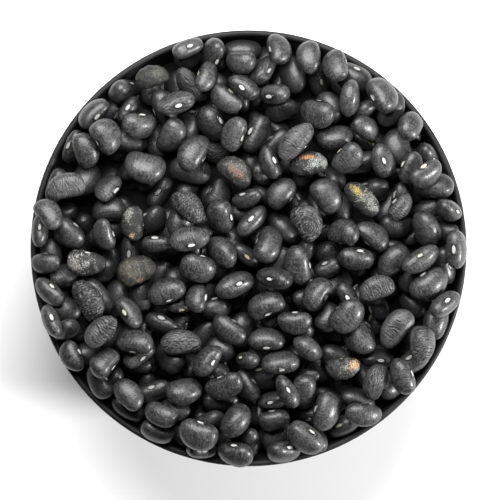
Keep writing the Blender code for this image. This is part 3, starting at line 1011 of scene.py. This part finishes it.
def charcoal_glaze():
    """Satin charcoal glaze with faint specks, bare dark clay under the foot."""
    m = Nodes("charcoal_glaze")
    coordinates = m.node("ShaderNodeTexCoord").outputs["Object"]
    bare = m.attribute("bare_clay")
    cloud = m.noise(coordinates, 45, 3, 0.6)
    specks = m.ranged(m.noise(coordinates, 900, 2, 0.5), 0.66, 0.74, 0, 1)
    glaze = m.mix(m.ranged(cloud, 0.3, 0.7, 0, 1), grey(0.008), grey(0.02))
    glaze = m.mix(m.math("MULTIPLY", specks, 0.4), glaze, grey(0.08, 1.03))
    grog = m.ranged(m.noise(coordinates, 600, 4, 0.7), 0.3, 0.7, 0, 1)
    clay = m.mix(grog, grey(0.09, 1.12), grey(0.16, 1.12))
    edge = m.ranged(m.math("ADD", bare, m.ranged(cloud, 0.3, 0.7, -0.15, 0.15)), 0.45, 0.55, 0, 1)
    m.set("Base Color", m.mix(edge, glaze, clay))
    rough = m.ranged(cloud, 0.3, 0.7, 0.50, 0.60)
    m.set("Roughness", m.math("ADD", rough, m.math("MULTIPLY", edge, 0.3)))
    m.set("Specular IOR Level", 0.2)
    m.set("Normal", m.bump(m.noise(coordinates, 700, 3, 0.6), 0.15, 0.2 * MM))
    return m.material


def white_floor():
    m = Nodes("white_floor")
    coordinates = m.node("ShaderNodeTexCoord").outputs["Object"]
    m.set("Base Color", m.mix(m.noise(coordinates, 3, 2), grey(0.86), grey(0.88)))
    m.set("Roughness", 0.9)
    return m.material


def turned_mesh(name, profile, sides):
    """A surface of revolution about Z from rows of radius and height."""
    turn = np.arange(sides) * 2 * math.pi / sides
    radius, height = np.array(profile).T
    points = np.stack([
        np.outer(radius, np.cos(turn)).ravel(),
        np.outer(radius, np.sin(turn)).ravel(),
        np.repeat(height, sides),
    ], axis=1)
    ring = np.arange(sides)
    after = (ring + 1) % sides
    faces = []
    for row in range(len(profile) - 1):
        upper, lower = row * sides, (row + 1) * sides
        faces += np.stack([upper + ring, lower + ring, lower + after, upper + after], axis=1).tolist()
    mesh = bpy.data.meshes.new(name)
    mesh.from_pydata(points.tolist(), [], faces)
    made = bpy.data.objects.new(name, mesh)
    bpy.context.scene.collection.objects.link(made)
    return made, points


def make_bowl():
    """The turned bowl, with the faint rings that a potter's fingers leave on the outer wall."""
    share = np.linspace(0, 1, WALL_RINGS)
    inner_radius, inner_height = inner_wall(share)
    outer_radius, outer_height = outer_wall(share[::-1])
    fade = np.sin(math.pi * share[::-1]) ** 0.5
    fingers = np.sin(outer_height / MM * 2 * math.pi / FINGER_SPACING)
    outer_radius = outer_radius + FINGER_DEPTH * fingers * fade
    lip_radius, lip_height = lip(np.linspace(math.pi, 0, LIP_RINGS + 2)[1:-1])
    foot_inside = FOOT_RADIUS - FOOT_WIDTH
    foot = [
        (FOOT_RADIUS - 0.4 * MM, FOOT_HEIGHT - 0.1 * MM),
        (FOOT_RADIUS, FOOT_HEIGHT - FOOT_CHAMFER),
        (FOOT_RADIUS, FOOT_CHAMFER),
        (FOOT_RADIUS - 0.2 * FOOT_CHAMFER, 0.2 * FOOT_CHAMFER),
        (FOOT_RADIUS - FOOT_CHAMFER, 0),
        (foot_inside + FOOT_CHAMFER, 0),
        (foot_inside, FOOT_CHAMFER),
        (foot_inside - FOOT_CHAMFER, BASE_RECESS),
        (0.4 * foot_inside, BASE_RECESS),
        (POLE_RADIUS, BASE_RECESS),
    ]
    profile = [(POLE_RADIUS, INNER_FLOOR), *zip(inner_radius, inner_height), *zip(lip_radius, lip_height)]
    profile += [*zip(outer_radius, outer_height), *foot]
    made, points = turned_mesh("bowl_body", profile, BOWL_SIDES)
    bare = smooth_step(-points[:, 2], -FOOT_HEIGHT, -FOOT_HEIGHT + CLAY_EDGE)
    bare *= np.hypot(points[:, 0], points[:, 1]) < FOOT_RADIUS + 0.1 * MM
    bare *= points[:, 2] < FOOT_HEIGHT
    layer = made.data.attributes.new("bare_clay", "FLOAT", "POINT")
    layer.data.foreach_set("value", bare.astype(np.float32))
    made.data.shade_smooth()
    made.data.set_sharp_from_angle(angle=CREASE)
    made.data.materials.append(charcoal_glaze())
    return made


def make_core():
    """The filling under the beans that show, kept clear of the wall, near-black as painted shade."""
    wall_radius, wall_height = inner_wall(np.linspace(0, 1, WALL_STEPS))
    below = wall_height < heap_surface(wall_radius) - CORE_DEPTH
    wall = np.stack([wall_radius[below] - CORE_TO_WALL, wall_height[below] + CORE_TO_WALL], axis=1)
    wall = wall[::-CORE_WALL_STRIDE]
    radii = np.linspace(POLE_RADIUS, wall[0, 0], CORE_RINGS)[:-1]
    dome = np.stack([radii, heap_surface(radii) - CORE_DEPTH], axis=1)
    made, _ = turned_mesh("heap_core", [*dome, *wall, (POLE_RADIUS, wall[-1, 1])], CORE_SIDES)
    made.data.shade_smooth()
    made.data.materials.append(core_painted_shade())
    return made


def turn_eyes(beans, rng):
    """Turns up most eyes that would lie underneath, and rolls those of some stand-out beans into view."""
    for bean in beans:
        if bean.axes[2, 1] > 0 and rng.random() < TURNED_UP:
            bean.turn_over()
    for number, degrees in EYE_ROLLS.items():
        beans[STAND_OUT_AT + number].roll(degrees)


def choose_looks(beans, rng):
    """The weathered and the wrinkled beans: stand-out ones first, then some that show well and lie down."""
    first = STAND_OUT_AT + len(WEATHERED)
    weathered = beans[STAND_OUT_AT:first]
    wrinkled = beans[first:first + len(WRINKLED)]
    for bean, look in zip(weathered, WEATHERED):
        bean.weathered = look
    for bean, look in zip(wrinkled, WRINKLED):
        bean.wrinkles = look
    others = [bean for bean in beans if bean.share > TOP_SHARE and bean not in weathered + wrinkled]
    lying = [bean for bean in others if abs(bean.axes[2, 0]) < LYING]
    more = [lying[i] for i in rng.choice(len(lying), MORE_WRINKLED, replace=False)]
    gentle = [look for look in WRINKLED if look.depth < GENTLE_FOLD]
    for bean in more:
        bean.wrinkles = gentle[int(rng.integers(len(gentle)))]
    return weathered, wrinkled + more


def make_all_beans():
    """The beans, drawn once and sorted into pieces by kind and by how much of them shows."""
    rng = np.random.default_rng(LOOK_SEED)
    beans = [Bean(*laid, rng) for laid in lay_beans()]
    for bean, share in zip(beans, visible_shares(beans)):
        bean.share = share
    turn_eyes(beans, rng)
    weathered, wrinkled = choose_looks(beans, rng)
    plain = [bean for bean in beans if bean not in weathered + wrinkled]
    top = [bean for bean in plain if bean.share > TOP_SHARE]
    middle = [bean for bean in plain if MIDDLE_SHARE < bean.share <= TOP_SHARE]
    low = [bean for bean in plain if bean.share <= MIDDLE_SHARE]
    across = [bean for bean in wrinkled if bean.wrinkles.run == ACROSS]
    along = [bean for bean in wrinkled if bean.wrinkles.run != ACROSS]
    with_eyes = [bean for bean in beans if bean.share > EYE_SHARE and eye_is_free(bean, beans)]
    smooth = bean_coat()
    folded = wrinkled_coat()
    return [
        make_beans_piece("beans_top", top, TOP_GRID, plain_values, smooth),
        make_beans_piece("beans_middle", middle, MIDDLE_GRID, plain_values, smooth),
        make_beans_piece("beans_low", low, LOW_GRID, plain_values, smooth),
        make_beans_piece("beans_wrinkled_across", across, ACROSS_GRID, wrinkled_values, folded),
        make_beans_piece("beans_wrinkled_along", along, ALONG_GRID, wrinkled_values, folded),
        make_beans_piece("beans_weathered", weathered, ROUGH_GRID, weathered_values, weathered_coat()),
        make_eyes(with_eyes),
    ]


def add_light(name, place, target, size, energy):
    light = bpy.data.lights.new(name, "AREA")
    light.energy = energy
    light.shape = "DISK"
    light.size = size
    made = bpy.data.objects.new(name, light)
    made.location = place
    direction = np.array(target) - np.array(place)
    made.rotation_euler = (
        math.acos(-direction[2] / np.linalg.norm(direction)),
        0,
        math.atan2(direction[0], -direction[1]) + math.pi,
    )
    bpy.context.scene.collection.objects.link(made)


def make_studio():
    """A plain pale floor, a broad light over the picture's top and a smaller one from its lower right."""
    corners = [(x * FLOOR_REACH, y * FLOOR_REACH, 0) for x, y in ((-1, -1), (1, -1), (1, 1), (-1, 1))]
    mesh = bpy.data.meshes.new("floor")
    mesh.from_pydata(corners, [], [(0, 1, 2, 3)])
    floor = bpy.data.objects.new("floor", mesh)
    bpy.context.scene.collection.objects.link(floor)
    mesh.materials.append(white_floor())
    add_light("broad_light", *BROAD_LIGHT)
    add_light("side_light", *SIDE_LIGHT)
    world = bpy.data.worlds.new("studio")
    world.use_nodes = True
    background = world.node_tree.nodes["Background"]
    background.inputs["Color"].default_value = (1, 1, 1, 1)
    background.inputs["Strength"].default_value = WORLD_STRENGTH
    bpy.context.scene.world = world


def make_camera():
    """Straight above the bowl, as the photograph was taken."""
    camera = bpy.data.cameras.new("camera")
    camera.sensor_width = SENSOR
    view_width = 2 * RIM_RADIUS * PICTURE_PIXELS / CIRCLE_PIXELS
    camera.lens = SENSOR * (CAMERA_HEIGHT - BOWL_HEIGHT) / view_width
    middle = PICTURE_PIXELS / 2
    camera.shift_x = (middle - CIRCLE_CENTRE_PIXEL[0]) / PICTURE_PIXELS
    camera.shift_y = (CIRCLE_CENTRE_PIXEL[1] - middle) / PICTURE_PIXELS
    made = bpy.data.objects.new("camera", camera)
    made.location = (0, 0, CAMERA_HEIGHT)
    bpy.context.scene.collection.objects.link(made)
    bpy.context.scene.camera = made
    bpy.context.scene.view_settings.view_transform = "Standard"


def finish_piece(piece, node):
    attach(piece, "root")
    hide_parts(node)


def main():
    make_camera()
    make_studio()
    for piece in make_all_beans() + [make_core()]:
        finish_piece(piece, "beans")
    finish_piece(make_bowl(), "bowl")


main()
